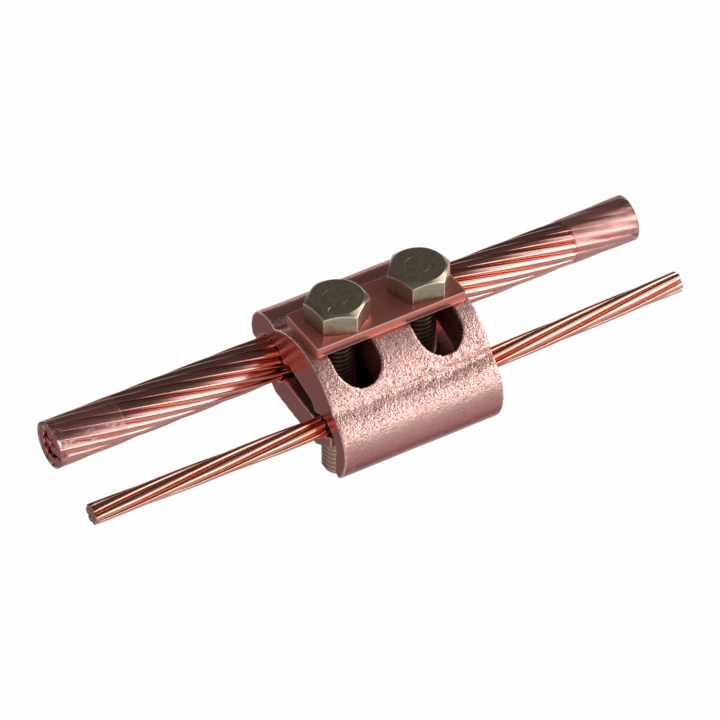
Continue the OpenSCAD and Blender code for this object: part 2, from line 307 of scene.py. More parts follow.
def tapeFinish():
    look = tapeLook
    finish, shade, shader = newFinish("clearTape", {})
    drawn = attribute(shade, "drawn", "Vector")
    dash = noise(shade, drawn, look["dashSize"], detail=1).step(*look["dashEdge"])
    smear = noise(shade, drawn, look["smearSize"])
    air = attribute(shade, "air") * dash
    film = attribute(shade, "film")
    copper = film.step(*look["rimFilm"]).pick(look["colour"], look["rim"])
    joinSockets(shade, shader, {
        "Base Color": air.pick(copper, look["air"]),
        "Metallic": look["metal"] - air * look["metal"],
        "Roughness": look["rough"] + smear.swing(look["smearRough"]),
        "Alpha": film * (look["smearLeast"] + smear * look["smearMore"]) + air * look["airFilm"],
    })
    return finish


finishes = {
    "cast": castFinish(), "plate": plateFinish(), "bolt": boltFinish(),
    "wire": wireFinish(), "tape": tapeFinish(),
}
print("finishes:", len(finishes))


# 0 below low, 1 above high, smooth between
def ramp(value, low, high):
    t = np.clip((value - low) / (high - low), 0, 1)
    return t * t * (3 - 2 * t)


latticeHash = dict(axes=(73856093, 19349663, 83492791), seed=7919, mix=1274126177)  # large primes


# Value noise: seeded numbers on a cubic lattice of the given cell, blended by smoothstep, from -1 to 1
def latticeNoise(points, cell, seed):
    low = np.floor(points / cell).astype(np.int64)
    part = points / cell - low
    part = part * part * (3 - 2 * part)
    total = np.zeros(len(points))
    for corner in np.ndindex(2, 2, 2):
        key = ((low + corner) * latticeHash["axes"]).sum(1) + seed * latticeHash["seed"]
        key = (key ^ (key >> 13)) * latticeHash["mix"]
        value = ((key ^ (key >> 16)) & 65535) / 32767.5 - 1  # the low 16 bits
        total += value * np.where(corner, part, 1 - part).prod(1)
    return total


# Values for each point of a mesh, under the names by which its material reads them
def setMaps(mesh, **maps):
    for name, values in maps.items():
        kind, field = ("FLOAT_VECTOR", "vector") if values.ndim == 2 else ("FLOAT", "value")
        layer = mesh.attributes.new(name, kind, "POINT")
        layer.data.foreach_set(field, values.astype(np.float32).ravel())


# Surfaces from grids of points: columns close round, and rows close too or end in a pole
def gridMesh(name, grids, closed=False):
    count, rows, columns, _ = grids.shape
    here = np.arange(count * rows * columns).reshape(count, rows, columns)
    turn = np.roll(here, -1, axis=2)
    kept = rows if closed else rows - 1
    ahead = np.roll(here, -1, axis=1)[:, :kept]
    turnAhead = np.roll(turn, -1, axis=1)[:, :kept]
    faces = np.stack([here[:, :kept], turn[:, :kept], turnAhead, ahead], -1).reshape(-1, 4).tolist()
    points = grids.reshape(-1, 3)
    if not closed:
        first = np.repeat(len(points) + np.arange(count), columns).reshape(count, columns)
        start = np.stack([first, turn[:, 0], here[:, 0]], -1)
        end = np.stack([first + count, here[:, -1], turn[:, -1]], -1)
        faces += np.concatenate([start, end]).reshape(-1, 3).tolist()
        points = np.concatenate([points, grids[:, 0].mean(1), grids[:, -1].mean(1)])
    mesh = bpy.data.meshes.new(name)
    mesh.from_pydata(points.tolist(), [], faces)
    return mesh


# Values of a grid with those of its poles, taken from the first and last rows
def withPoles(values):
    flat = values.reshape((-1,) + values.shape[3:])
    return np.concatenate([flat, values[:, 0].mean(1), values[:, -1].mean(1)])


# Puts a mesh into the scene in place of a solid
def dress(name, mesh, node, body, finish):
    mesh.materials.clear()
    mesh.materials.append(finishes[finish])
    mesh.polygons.foreach_set("use_smooth", [True] * len(mesh.polygons))
    piece = bpy.data.objects.new(name, mesh)
    scene.collection.objects.link(piece)
    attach(piece, body)
    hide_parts(node)
    return piece


# A copy of a solid's mesh with its loose triangles merged
def mergedCopy(name, node):
    work = bmesh.new()
    work.from_mesh(frame["nodes"][node].data)
    bmesh.ops.remove_doubles(work, verts=work.verts, dist=0.001 * mm)
    mesh = bpy.data.meshes.new(name)
    work.to_mesh(mesh)
    work.free()
    return mesh


# Part of the way to the mean of each point's neighbours, some times over
def relaxed(values, edges, passes, share=0.5):
    ends = np.concatenate([edges, edges[:, ::-1]])
    count = np.bincount(ends[:, 0], minlength=len(values))
    columns = values.reshape(len(values), -1).T.copy()
    for _ in range(passes):
        means = [np.bincount(ends[:, 0], column[ends[:, 1]], len(values)) / count for column in columns]
        columns += share * (np.array(means) - columns)
    return columns.T.reshape(values.shape)


# Castings: the solid remeshed in small cells, its edges rounded by relaxing, and roughened along its normals
castings = {
    "upper_shell": dict(name="shellCasting", body="clamp", seed=3, pits=70, knobs=16, scuffedHighlight=1),
    "lower_jaw": dict(name="jawCasting", body="jaw", seed=8, pits=30, knobs=6, scuffedHighlight=0.55),
}
castForm = dict(
    relief=dict(
        cell=0.29 * mm, softPasses=3, roofRadius=17.15 * mm, roofFront=1.0 * mm,
        swell=0.07 * mm, swellCell=6 * mm, lump=0.03 * mm, lumpCell=1.5 * mm,
        grain=0.03 * mm, grainCell=0.62 * mm, creaseGrain=0.06 * mm,
        pitDeep=0.13 * mm, knobHigh=0.14 * mm, spotWide=(0.18 * mm, 0.42 * mm), spotHigh=(0.4, 1),
    ),
    # the valley between roof and front wing, at turn degrees from the roof's top, with a rough patch above it
    valley=dict(
        turn=66, deep=0.42 * mm, wide=1.3 * mm, wave=0.5 * mm, waveCell=4 * mm, skin=(1.2 * mm, 0.6 * mm),
        leftShare=0.35, growFrom=-8 * mm, growTo=6 * mm,
        patchUp=1.2 * mm, patchWide=1.5 * mm, patchGrain=0.11 * mm, patchCell=0.9 * mm,
    ),
    # parts of a normal along an axis between which a face comes to count as facing that way
    facing=dict(
        end=(0.55, 0.85), below=(0, 0.55), front=(0.1, 0.4), up=(0.15, 0.6), low=(-0.4, 0.25),
        lip=(-0.1, 0.3), lipEnd=(0.1, 0.3), jawTop=(0.3, 0.8),
    ),
    # where grain, wear painted as highlights, painted light and shade on the skin, and painted shade under
    # the roof lie
    tone=dict(
        standPasses=6, wearStand=(0.03, 0.20), wearPasses=1, lipNoHighlight=0.85,
        creaseStand=(0.01, 0.06), creasePasses=10, creaseGrain=0.45,
        endGrain=0.9, belowGrain=0.65, leastGrain=0.2, frontGrain=0.25, upGrain=0.2,
        spotEnd=0.2, spotStand=0.05, leastLit=0.2, lowShade=0.8, shadeDepth=(0.4 * mm, 1.6 * mm),
        mouth=8 * mm, mouthShade=0.1, jawShade=0.95,
    ),
)


# The solid in even cells and softened, with its points, normals and edges as arrays
def castBlank(node, name):
    relief = castForm["relief"]
    blank = bpy.data.objects.new("blank", mergedCopy("blank", node))
    scene.collection.objects.link(blank)
    remesh = blank.modifiers.new("cells", "REMESH")
    remesh.mode = "VOXEL"
    remesh.voxel_size = relief["cell"]
    mesh = bpy.data.meshes.new_from_object(blank.evaluated_get(bpy.context.evaluated_depsgraph_get()))
    bpy.data.objects.remove(blank)
    mesh.name = name
    points = np.empty(3 * len(mesh.vertices))
    mesh.vertices.foreach_get("co", points)
    edges = np.empty(2 * len(mesh.edges), np.int64)
    mesh.edges.foreach_get("vertices", edges)
    edges = edges.reshape(-1, 2)
    points = relaxed(points.reshape(-1, 3), edges, relief["softPasses"])
    mesh.vertices.foreach_set("co", points.ravel())
    mesh.update()
    normals = np.empty(3 * len(mesh.vertices))
    mesh.vertex_normals.foreach_get("vector", normals)
    return mesh, points, normals.reshape(-1, 3), edges


# Pits and knobs: bells of random width and height at random points of the plain skin
def spotLift(points, plain, settings):
    relief = castForm["relief"]
    random = np.random.default_rng(settings["seed"])
    spots = points[random.choice(plain, settings["pits"] + settings["knobs"], replace=False)]
    wide = random.uniform(*relief["spotWide"], len(spots))
    high = np.where(np.arange(len(spots)) < settings["pits"], -relief["pitDeep"], relief["knobHigh"])
    high = high * random.uniform(*relief["spotHigh"], len(spots))
    lift = np.zeros(len(points))
    for spot, width, height in zip(spots, wide, high):
        lift += height * np.exp(-((points - spot) ** 2).sum(1) / (2 * width ** 2))
    return lift


# A bell-shaped valley along the roof's edge, wandering a little, deeper and rougher to the right: what it
# lifts each point by, and how much each point belongs to it
def valleyLift(points, turn, out, cast, seed):
    form = castForm["valley"]
    radius = castForm["relief"]["roofRadius"]
    wander = form["wave"] * latticeNoise(points * (1, 0, 0), form["waveCell"], seed)
    down = radius * (turn - math.radians(form["turn"])) + wander
    along = points[:, 0] - points[:, 0].mean()
    share = form["leftShare"] + (1 - form["leftShare"]) * ramp(along, form["growFrom"], form["growTo"])
    share = share * cast * ramp(out, radius - form["skin"][0], radius - form["skin"][1])
    valley = share * np.exp(-(down / form["wide"]) ** 2)
    patch = share * np.exp(-((down + form["patchUp"]) / form["patchWide"]) ** 2)
    rough = form["patchGrain"] * patch * latticeNoise(points, form["patchCell"], seed + 1)
    return rough - form["deep"] * valley, np.maximum(valley, patch)


def makeCasting(node, settings):
    relief, facing, tone = castForm["relief"], castForm["facing"], castForm["tone"]
    seed = settings["seed"]
    mesh, points, normals, edges = castBlank(node, settings["name"])
    right, back, up = normals.T

    # how far each point stands out from its neighbours, in cells: above 0 on outer edges, below in creases
    stand = ((points - relaxed(points, edges, tone["standPasses"])) * normals).sum(1) / relief["cell"]
    # outer edges: worn and painted bright as highlights, mostly left dark on the lip's lower edge, where no
    # highlight falls
    wear = settings["scuffedHighlight"] * relaxed(ramp(stand, *tone["wearStand"]), edges, tone["wearPasses"])
    lip = ramp(-up, *facing["lip"]) * (1 - ramp(np.abs(right), *facing["lipEnd"]))
    wear = wear * (1 - tone["lipNoHighlight"] * lip)
    crease = relaxed(ramp(-stand, *tone["creaseStand"]), edges, tone["creasePasses"])
    cutEnd = ramp(np.abs(right), *facing["end"])
    cast = 1 - cutEnd
    front = ramp(-back, *facing["front"])
    grain = (1 - tone["endGrain"] * cutEnd) * (1 - tone["belowGrain"] * ramp(-up, *facing["below"]))
    frontGrain = tone["frontGrain"] + tone["upGrain"] * ramp(up, *facing["up"])
    grain = grain * (tone["leastGrain"] + front * frontGrain)

    # each point's turn about the round roof's axis, from its top to the front, and distance from it
    bolt = frame["joints"][0]["pos_m"]
    fromY = points[:, 1] - bolt[1] + relief["roofFront"]
    fromZ = points[:, 2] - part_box("pressure_plate")[0].z + relief["roofRadius"]
    turn = np.arctan2(-fromY, fromZ)
    out = np.hypot(fromY, fromZ)

    plain = np.flatnonzero((cutEnd < tone["spotEnd"]) & (stand < tone["spotStand"]))
    lift = spotLift(points, plain, settings)
    lift += relief["swell"] * latticeNoise(points, relief["swellCell"], seed) * cast
    lift += relief["lump"] * latticeNoise(points, relief["lumpCell"], seed + 1) * grain
    rough = relief["grain"] * grain + relief["creaseGrain"] * crease * cast
    lift += rough * latticeNoise(points, relief["grainCell"], seed + 2)
    if node == "upper_shell":
        valleyRise, valley = valleyLift(points, turn, out, cast, seed + 3)
        lift += valleyRise
        crease = np.maximum(crease, valley)
    points += lift[:, None] * normals
    mesh.vertices.foreach_set("co", points.ravel())
    mesh.update()

    # painted light and shade by facing: lighter towards the front, darker away from it and below; the cut
    # ends keep the smooth colour as their own
    skin = cast * (tone["leastLit"] + (1 - tone["leastLit"]) * front)
    skin = skin * (1 - tone["lowShade"] * ramp(-up, *facing["low"]))
    # painted shade below the round roof's skin: near black in the slots, the grooves and under the ceiling
    inside = ramp(relief["roofRadius"] - out, *tone["shadeDepth"]) * cast
    if node == "lower_jaw":
        # painted shade on the jaw's upper side, darker away from its open ends
        fromEnd = np.minimum(points[:, 0] - points[:, 0].min(), points[:, 0].max() - points[:, 0])
        dark = tone["mouthShade"] + (tone["jawShade"] - tone["mouthShade"]) * ramp(fromEnd, 0, tone["mouth"])
        inside = ramp(up, *facing["jawTop"]) * dark
    grain = np.clip(grain + tone["creaseGrain"] * crease * cast, 0, 1)
    setMaps(mesh, grain=grain, wear=wear, skin=skin, inside=inside)
    return dress(settings["name"], mesh, node, settings["body"], "cast")


for node, settings in castings.items():
    piece = makeCasting(node, settings)
    print(settings["name"], len(piece.data.polygons), "faces")


# The plate: the solid with its sheared edges broken
plate = dict(edge=0.32 * mm, edgeSteps=3)
piece = dress("plateBar", mergedCopy("plateBar", "pressure_plate"), "pressure_plate", "clamp",
              "plate")
broken = piece.modifiers.new("edges", "BEVEL")
broken.width = plate["edge"]
broken.segments = plate["edgeSteps"]
broken.limit_method = "ANGLE"
broken.harden_normals = True
print("plateBar done")


# Bolts: a grid of angles and rows from the tip up, over the thread and the hexagon head
bolts = {
    "bolt_left": dict(name="leftBolt", body="left_bolt", joint="left_bolt_turn", corner=36.5),
    "bolt_right": dict(name="rightBolt", body="right_bolt", joint="right_bolt_turn", corner=49.5),
}
boltForm = dict(
    across=13 * mm, high=5.4 * mm, chamfer=1.15 * mm, chamferAngle=38, foot=0.004,
    softness=90, sector=18, cornerPull=0.75,
    thread=8 * mm, threadDeep=0.677 * mm, crest=1 / 8, root=1 / 4, tip=0.9 * mm, turnRows=14,
    ring=2.85 * mm, ringWide=0.5 * mm, ringDeep=0.13 * mm, ticks=(60, 75, 200, 215, 320, 335), tickTurn=3.5,
    tickFrom=3.8 * mm, tickTo=5.1 * mm, tickSoft=0.2 * mm, tickHigh=0.16 * mm,
    # where the rows of each face stand, as shares of the way over it
    rows=dict(
        tip=np.linspace(0.3, 0.97, 3)[:, None], under=np.array([0.3, 0.6, 0.97, 0.99])[:, None],
        side=np.array([0.012, 0.03, 0.3, 0.6, 0.9, 0.97, 0.99])[:, None],
        cone=np.array([0.01, 0.04, 0.3, 0.6, 0.93, 0.98])[:, None],
        top=np.concatenate([[1.0, 0.99, 0.97], np.linspace(0.94, 0.05, 44)])[:, None],
    ),
    # painted shade on the shank inside the shell and in the thread roots, painted light on the shank below
    # the jaw, worn lines on the head painted bright as highlights
    tone=dict(
        insideShadeReach=3 * mm, insideShade=0.75, insideShadeGroove=0.2, groove=0.12, bareFrom=-3 * mm, bareTo=2 * mm,
        cornerLine=(0.02, 0.10), sideLine=(0.88, 0.97), coneLine=(0.04, 0.3),
    ),
)


# Distance to a hexagon's side at each angle, its corners softened: a power mean over the six sides
def hexagonReach(angle, corner, across, softness):
    sides = corner + math.pi / 6 + np.arange(6) * math.pi / 3
    facing = np.maximum(np.cos(angle[:, None] - sides), 0)
    return across / 2 / (facing ** softness).sum(1) ** (1 / softness)


# Thread: flat crests and roots with straight flanks between, wound up the shank and cut back by a chamfer
def boltShank(low, seat, pitch, angle):
    form = boltForm
    z = np.linspace(low, seat, int(form["turnRows"] * (seat - low) / pitch))[:, None]
    wave = np.abs(2 * ((z / pitch - angle / (2 * math.pi)) % 1) - 1)
    groove = np.clip((wave - form["crest"]) / (1 - form["crest"] - form["root"]), 0, 1)
    crest = form["thread"] / 2
    return z, groove, np.minimum(crest - form["threadDeep"] * groove, crest - form["tip"] + (z - low))


# The head's top: level, with a shallow turned ring and plain raised ticks
def boltTop(rim, level, angle):
    form = boltForm
    radius = form["rows"]["top"] * rim * np.ones_like(angle)
    ring = np.exp(-((radius - form["ring"]) / (form["ringWide"] / 2)) ** 4)
    lines = [np.abs((np.degrees(angle) - tick + 180) % 360 - 180) for tick in form["ticks"]]
    width = 1 - ramp(np.min(lines, axis=0), form["tickTurn"] / 2, form["tickTurn"])
    length = ramp(radius, form["tickFrom"] - form["tickSoft"], form["tickFrom"])
    length = length * (1 - ramp(radius, form["tickTo"], form["tickTo"] + form["tickSoft"]))
    return radius, level - form["ringDeep"] * ring + form["tickHigh"] * width * length


def makeBolt(node, settings):
    form = boltForm
    rows, tone = form["rows"], form["tone"]
    joint = next(j for j in frame["joints"] if j["name"] == settings["joint"])
    follow = next(c for c in frame["record"]["behaviour"]["couplings"] if c["joint"] == "jaw_travel")
    pitch = follow["ratio"] * 2 * math.pi
    low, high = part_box(node)
    seat = high.z - form["high"]
    corner = math.radians(settings["corner"])
    u = np.arange(6 * form["sector"]) / form["sector"]
    pull = form["cornerPull"] * np.sin(2 * math.pi * u) / (2 * math.pi)
    angle = corner + math.pi / 3 * (u - pull)  # closer at the corners
    reach = hexagonReach(angle, corner, form["across"], form["softness"])
    z, groove, shank = boltShank(low.z, seat, pitch, angle)
    tip = rows["tip"] * shank[:1]

    # head: under side, six sides, chamfer cone and top
    slope = math.tan(math.radians(form["chamferAngle"]))
    rim = form["across"] / math.sqrt(3) - form["chamfer"] / slope
    shoulder = high.z - slope * (reach - rim)
    under = shank[-1] + rows["under"] * (reach - shank[-1])
    side = reach * np.ones_like(rows["side"])
    side[0] *= 1 - form["foot"]  # the lower edge is drawn in a little
    cone = reach - rows["cone"] * (reach - rim)
    top, topZ = boltTop(rim, high.z, angle)
    radius = np.concatenate([tip, shank, under, side, cone, top])
    height = np.concatenate([
        low.z * np.ones_like(tip), z * np.ones_like(angle), seat * np.ones_like(under),
        seat + rows["side"] * (shoulder - seat), high.z - slope * (cone - rim), topZ,
    ])
    centre = Vector(joint["pos_m"])
    grid = np.stack([centre.x + radius * np.cos(angle), centre.y + radius * np.sin(angle), height], -1)[None]
    mesh = gridMesh(settings["name"], grid)

    jawLow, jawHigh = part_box("lower_jaw")
    # painted shade: a little in the thread roots, near black on the shank inside the shell above the jaw
    depth = np.zeros_like(radius)
    shadeInside = ramp(z, jawHigh.z - tone["insideShadeReach"], jawHigh.z) * (tone["insideShade"] + tone["insideShadeGroove"] * groove)
    depth[len(tip):len(tip) + len(shank)] = np.maximum(tone["groove"] * groove, shadeInside)
    # painted light: the shank below the jaw is lighter
    bare = 1 - ramp(height, jawLow.z + tone["bareFrom"], jawLow.z + tone["bareTo"])
    # worn lines painted bright as highlights: where the sides meet the chamfer, and down the six corners
    edge = np.zeros_like(radius)
    sideRow = len(tip) + len(shank) + len(under)
    coneRow = sideRow + len(side)
    corners = 1 - ramp(np.abs(u - np.round(u)), *tone["cornerLine"])
    edge[sideRow:coneRow] = np.maximum(ramp(rows["side"], *tone["sideLine"]), corners)
    edge[coneRow:coneRow + len(cone)] = 1 - ramp(rows["cone"], *tone["coneLine"])
    maps = dict(edge=edge, depth=depth, bare=bare, radial=radius)
    setMaps(mesh, **{name: withPoles(values[None]) for name, values in maps.items()})
    return dress(settings["name"], mesh, node, settings["body"], "bolt")


for node, settings in bolts.items():
    piece = makeBolt(node, settings)
    print(settings["name"], len(piece.data.polygons), "faces")


# Conductors: each wire is a circle, pressed a little wider round its layer and flatter at its crest, carried
# along a helix about the conductor's axis, and cut off at the planes in which it meets its neighbours. A
# layer is its number of wires and its turns for each turn of the outer layer
conductors = {
    "main_conductor": dict(
        name="mainWires", across=10.7 * mm, lay=132 * mm, turn=4.5, layers=((1, 1), (6, -1.3), (12, 1)),
        sides=(16, 6), rise=(0, 0), seed=5, recess=1.3 * mm, tone=(0.6, 1), crown=0.85,
        waist=((-0.0083, 1.02), (0.012, 1.01), (0.048, 1.0), (0.09, 1.0), (0.125, 0.985), (0.1415, 1.01)),
    ),
    "tap_conductor": dict(
        name="tapWires", across=4.9 * mm, lay=-128 * mm, turn=10, layers=((1, 1), (6, 1)),
        sides=(20, 6), rise=(1.25 * mm, 0.75 * mm), seed=11, recess=0.15 * mm, tone=(0, 0.3), crown=0.65,
        waist=((-0.02, 1.0), (0.15, 1.0)),
    ),
}
# For every wire: inner wires are innerShare as thick as outer ones, ends lie back by shares of the recess,
# and a cut edge has edgeShare of the wire's thickness at edgeInto from the end
wireForm = dict(
    rings=130, press=1.06, innerShare=0.88, meetShare=0.985, outerEnds=(0, 0.2), innerEnds=(0.45, 1),
    edgeInto=np.array([0, 0.03, 0.09, 0.2]) * mm, edgeShare=np.array([0.86, 0.94, 0.985, 1.0]),
    cutBelow=0.95, flank=(0.1, 0.8), linesApart=3,
)


# Size of the outer layer's wires and of the layer, for touching wires inside a given diameter
def layerSize(count, across):
    wire = across / 2 / (1 + 1 / math.sin(math.pi / count))
    return wire, across / 2 - wire


# Share of the full width at x, smooth between the given places
def waistAt(x, waist):
    places, shares = np.array(waist).T
    at = np.clip(np.searchsorted(places, x) - 1, 0, len(places) - 2)
    return shares[at] + ramp(x, places[at], places[at + 1]) * (shares[at + 1] - shares[at])


# Angles about a wire, closer on the outside, which ends where the wire meets its neighbours
def wireAngles(settings, wire, layer, side):
    press = wireForm["press"]
    meet = min(1, layer * side / (wire * math.hypot(press, side)))
    edge = math.atan(side / press) + math.asin(meet)
    outside, inside = settings["sides"]
    return np.concatenate([np.linspace(-edge, edge, outside),
                           np.linspace(edge, 2 * math.pi - edge, inside + 2)[1:-1]])


def makeConductor(node, settings):
    form = wireForm
    low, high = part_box(node)
    shellLow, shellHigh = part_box("upper_shell")
    shellX = (shellLow.x + shellHigh.x) / 2
    axisY = (low.y + high.y) / 2
    axisZ = low.z + settings["across"] / 2
    outerCount = settings["layers"][-1][0]
    outerWire, outerLayer = layerSize(outerCount, settings["across"])
    side = math.tan(math.pi / outerCount)
    around = wireAngles(settings, outerWire, outerLayer, side)
    crown = np.sign(np.cos(around)) * np.abs(np.cos(around)) ** settings["crown"]
    body = np.linspace(0, 1, form["rings"])[1:-1]
    into, share = form["edgeInto"], form["edgeShare"]
    share = np.concatenate([share, np.ones(len(body)), share[::-1]])
    random = np.random.default_rng(settings["seed"])
    grids = []
    maps = dict(drawn=[], tone=[], cut=[], flank=[])
    for count, hand in settings["layers"]:
        outer = count == outerCount
        wire = outerWire if outer else form["innerShare"] * outerWire
        layer = outerLayer if outer else (2 * wire if count > 1 else 0)
        endShare = form["outerEnds"] if outer else form["innerEnds"]
        ends = settings["recess"] * random.uniform(*endShare, (2, count, 1))
        start, end = low.x + ends[0], high.x - ends[1]
        middle = start + into[-1] + (end - start - 2 * into[-1]) * body
        x = np.concatenate([start + into, middle, end - into[::-1]], axis=1)
        turn = math.radians(settings["turn"]) + hand * 2 * math.pi * (x - shellX) / settings["lay"]
        turn = turn + np.arange(count)[:, None] * 2 * math.pi / count
        scale = waistAt(x, settings["waist"])[..., None]
        rise = settings["rise"][0] * np.clip((shellLow.x - x) / (shellLow.x - low.x), 0, 1)
        rise = rise + settings["rise"][1] * np.clip((x - shellHigh.x) / (high.x - shellHigh.x), 0, 1)
        reach = wire * share[None, :, None]
        outward = layer + reach * crown
        sideways = form["press"] * reach * np.sin(around)
        if outer:
            limit = form["meetShare"] * side * outward
            sideways = np.clip(sideways, -limit, limit)
        c, s = np.cos(turn)[..., None], np.sin(turn)[..., None]
        y = axisY + scale * (outward * c - sideways * s)
        z = axisZ + rise[..., None] + scale * (outward * s + sideways * c)
        x = np.broadcast_to(x[..., None], y.shape)
        grids.append(np.stack([x, y, z], -1))
        # each wire has its own lines: its section lies beside the last one's
        lineZ = wire * np.sin(around) + form["linesApart"] * wire * np.arange(count)[:, None, None]
        maps["drawn"].append(np.stack([x, wire * np.cos(around) + 0 * y, lineZ + 0 * y], -1))
        maps["tone"].append(random.uniform(*settings["tone"], (count, 1, 1)) + 0 * y)
        maps["cut"].append((share < form["cutBelow"])[None, :, None] + 0 * y)
        maps["flank"].append(ramp(1 - np.cos(around), *form["flank"]) + 0 * y)
    mesh = gridMesh(settings["name"], np.concatenate(grids))
    setMaps(mesh, **{name: withPoles(np.concatenate(values)) for name, values in maps.items()})
    return dress(settings["name"], mesh, node, "clamp", "wire")


for node, settings in conductors.items():
    piece = makeConductor(node, settings)
    print(settings["name"], len(piece.data.polygons), "faces")


# Tape bands: a thin film over the wires' crests that dips a little into the valleys between them. Angles are
# in degrees from the back over the top: air shows from airFrom to airTo, and the film is double at doubleAt
tapes = {
    "tape_left": dict(name="leftTape", film=0.10, air=1.0, dip=0.18 * mm),
    "tape_right": dict(name="rightTape", film=0.26, air=0.1, dip=0.09 * mm),
}
tapeForm = dict(
    columns=288, rows=40, thick=0.05 * mm, over=0.03 * mm, wave=0.05 * mm, waveCell=2.5 * mm, seed=21,
    airFrom=140, airTo=160, airSoft=10, doubleAt=215, doubleReach=(42, 38), doubleMore=0.5,
    rim=0.5 * mm, rimRows=np.array([0.08, 0.16, 0.25, 0.35]) * mm, rimFilm=1, gapReach=3 * mm,
)


def makeTape(node, settings):
    form = tapeForm
    wires = conductors["main_conductor"]
    count = wires["layers"][-1][0]
    low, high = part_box(node)
    shellLow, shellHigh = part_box("upper_shell")
    shellX = (shellLow.x + shellHigh.x) / 2
    tip = low.x if abs(low.x - shellX) > abs(high.x - shellX) else high.x
    nearTip = tip + math.copysign(1, shellX - tip) * form["rimRows"]
    x = np.sort(np.append(np.linspace(low.x, high.x, form["rows"]), nearTip))[:, None]
    rim = 1 - ramp(np.abs(x - tip), 0, form["rim"])  # the band's outer edge is stiff and hazy
    angle = np.arange(form["columns"]) * 2 * math.pi / form["columns"]
    turn = angle - 2 * math.pi * (x - shellX) / wires["lay"] - math.radians(wires["turn"])
    valley = 0.5 - 0.5 * np.cos(count * turn)  # 0 on the wires' crests, 1 between them
    crest = wires["across"] / 2 * waistAt(x, wires["waist"]) + form["over"]
    flat = np.stack([x + 0 * angle, crest * angle, 0 * turn], -1).reshape(-1, 3)
    wave = latticeNoise(flat, form["waveCell"], form["seed"]).reshape(turn.shape)
    inner = crest - (1 - rim) * (settings["dip"] * valley ** 2 - form["wave"] * valley * wave)
    radius = np.concatenate([inner + form["thick"], inner[::-1]])
    along = np.concatenate([x, x[::-1]]) + 0 * radius
    grid = np.stack([along, radius * np.cos(angle), radius * np.sin(angle)], -1)[None]
    mesh = gridMesh(settings["name"], grid, closed=True)

    degrees = np.degrees(angle)
    front = ramp(degrees, form["airFrom"] - form["airSoft"], form["airFrom"])
    front = front * (1 - ramp(degrees, form["airTo"], form["airTo"] + form["airSoft"]))
    double = ramp(np.abs(degrees - form["doubleAt"]), *form["doubleReach"])
    gaps = valley * (1 - ramp(np.abs(x - tip), form["rim"], form["gapReach"]))  # shut between the wires
    film = settings["film"] * (1 + form["doubleMore"] * double) + 0 * valley
    film = np.maximum(film, form["rimFilm"] * np.maximum(rim, gaps))
    arc = crest * np.minimum(angle, 2 * math.pi - angle)  # the same both ways round, so that no seam shows
    drawn = np.stack([x + 0 * arc, arc, 0 * arc], -1)
    air = settings["air"] * valley * front
    for name, values in dict(drawn=drawn, air=air, film=film).items():
        bothSides = np.concatenate([values, values[::-1]])
        setMaps(mesh, **{name: bothSides.reshape((-1,) + values.shape[2:])})
    return dress(settings["name"], mesh, node, "clamp", "tape")


for node, settings in tapes.items():
    makeTape(node, settings)
print("tape bands:", len(tapes))


# Direction from the object: azimuth 0 is the front, 90 the right, in degrees
def towards(azimuth, elevation):
    a, e = math.radians(azimuth), math.radians(elevation)
    return Vector((math.sin(a) * math.cos(e), -math.cos(a) * math.cos(e), math.sin(e)))


# Camera of the photograph: the aim is the point in the middle of the frame
photoCamera = dict(
    azimuth=-30.585, elevation=40.386, roll=-0.506, distance=1331.6 * mm, lens=301.4,
    look=Vector((69.35, -10.672, 15.217)) * mm, right=-4.08 * mm, up=-13.38 * mm,
)


def makeCamera():
    shot = photoCamera
    back = towards(shot["azimuth"], shot["elevation"])
    spin = (-back).to_track_quat("-Z", "Y") @ Quaternion((0, 0, 1), math.radians(shot["roll"]))
    aim = shot["look"] + spin @ Vector((shot["right"], shot["up"], 0))
    data = bpy.data.cameras.new("camera")
    data.lens = shot["lens"]
    camera = bpy.data.objects.new("camera", data)
    camera.location = shot["look"] + back * shot["distance"]
    swing = Vector((0, 0, -1)).rotation_difference(spin.inverted() @ (aim - camera.location))
    camera.rotation_mode = "QUATERNION"
    camera.rotation_quaternion = spin @ swing
    scene.collection.objects.link(camera)
    scene.camera = camera


makeCamera()


# Studio, in metres and degrees: white surroundings, a pale floor, soft boxes, and a dark tent and cards that
# only show in the metal. A window in the tent is its two azimuths and its two elevations
studio = dict(
    floor=-0.12, floorSize=8, floorColour=(0.9, 0.9, 0.9, 1), floorWhite=0.95, ambient=0.6,
    middle=Vector((0.067, -0.011, 0)), white=(1, 1, 1, 1),
)
softBoxes = {
    "keyBox": dict(azimuth=58, elevation=19, distance=0.9, wide=1.02, high=0.6, level=2.0, slide=0),
    "lowBox": dict(azimuth=15, elevation=6, distance=0.9, wide=0.3, high=0.24, level=2.4, slide=0),
    "sideBox": dict(azimuth=90, elevation=45, distance=0.64, wide=0.6, high=0.42, level=1.1, slide=-0.3),
}
tent = dict(
    radius=1.3, level=0.06, step=6, lowest=2,
    windows=((28.5, 90, 2, 40), (17, 28.5, 2, 24), (-65, -8, 10, 50)),
)
cards = {
    "groundCard": dict(place=(0, 0), lift=0.002, wide=1.4, high=1.4, level=0.56),
    "shadowCard": dict(place=(0.05, -0.03), lift=0.006, wide=0.11, high=0.05, level=0.2),
    "rearGroundCard": dict(place=(-0.09, 0.13), lift=0.004, wide=0.24, high=0.2, level=0.22),
}


# A mixture of the given surface and plain white, which is seen by camera, glossy and transmitted rays
def whiteTo(shade, surface, white, share):
    rays = [shade.node("LightPath", {}, {}, ray)
            for ray in ("Is Camera Ray", "Is Glossy Ray", "Is Transmission Ray")]
    seen = shade.node("Math", {"operation": "ADD", "use_clamp": True}, {0: rays[0] + rays[1], 1: rays[2]})
    return shade.node("MixShader", {}, {0: seen * share, 1: surface, 2: white})


